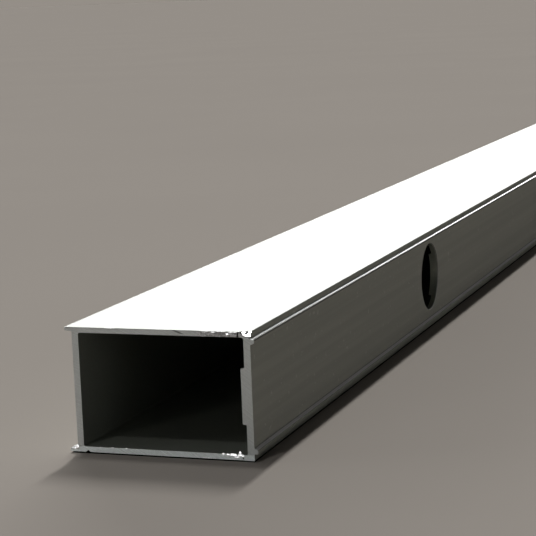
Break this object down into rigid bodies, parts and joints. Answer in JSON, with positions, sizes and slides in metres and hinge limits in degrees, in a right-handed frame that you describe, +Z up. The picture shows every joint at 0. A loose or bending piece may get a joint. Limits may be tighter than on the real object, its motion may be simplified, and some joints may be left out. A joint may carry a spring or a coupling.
{
  "type": "aluminium extrusion profile",
  "caption": "Straight bar of thin-walled aluminium box section with lips along one side, snap ribs along the other and a round hole drilled through the ribbed side near one end.",
  "frame": {"origin": "middle of the bar's length and overall width, on the plane of its underside", "axes": "+Y along the bar, away from the drilled end; +X across it, from the lipped side to the ribbed and drilled side; +Z up, from the underside to the top"},
  "size_m": [0.0506, 1, 0.032],
  "materials": {
    "aluminium": "mill finish with fine die lines along the bar, dull sawn ends"
  },
  "bodies": {
    "root": {"extrusion_profile": "aluminium"}
  },
  "joints": []
}
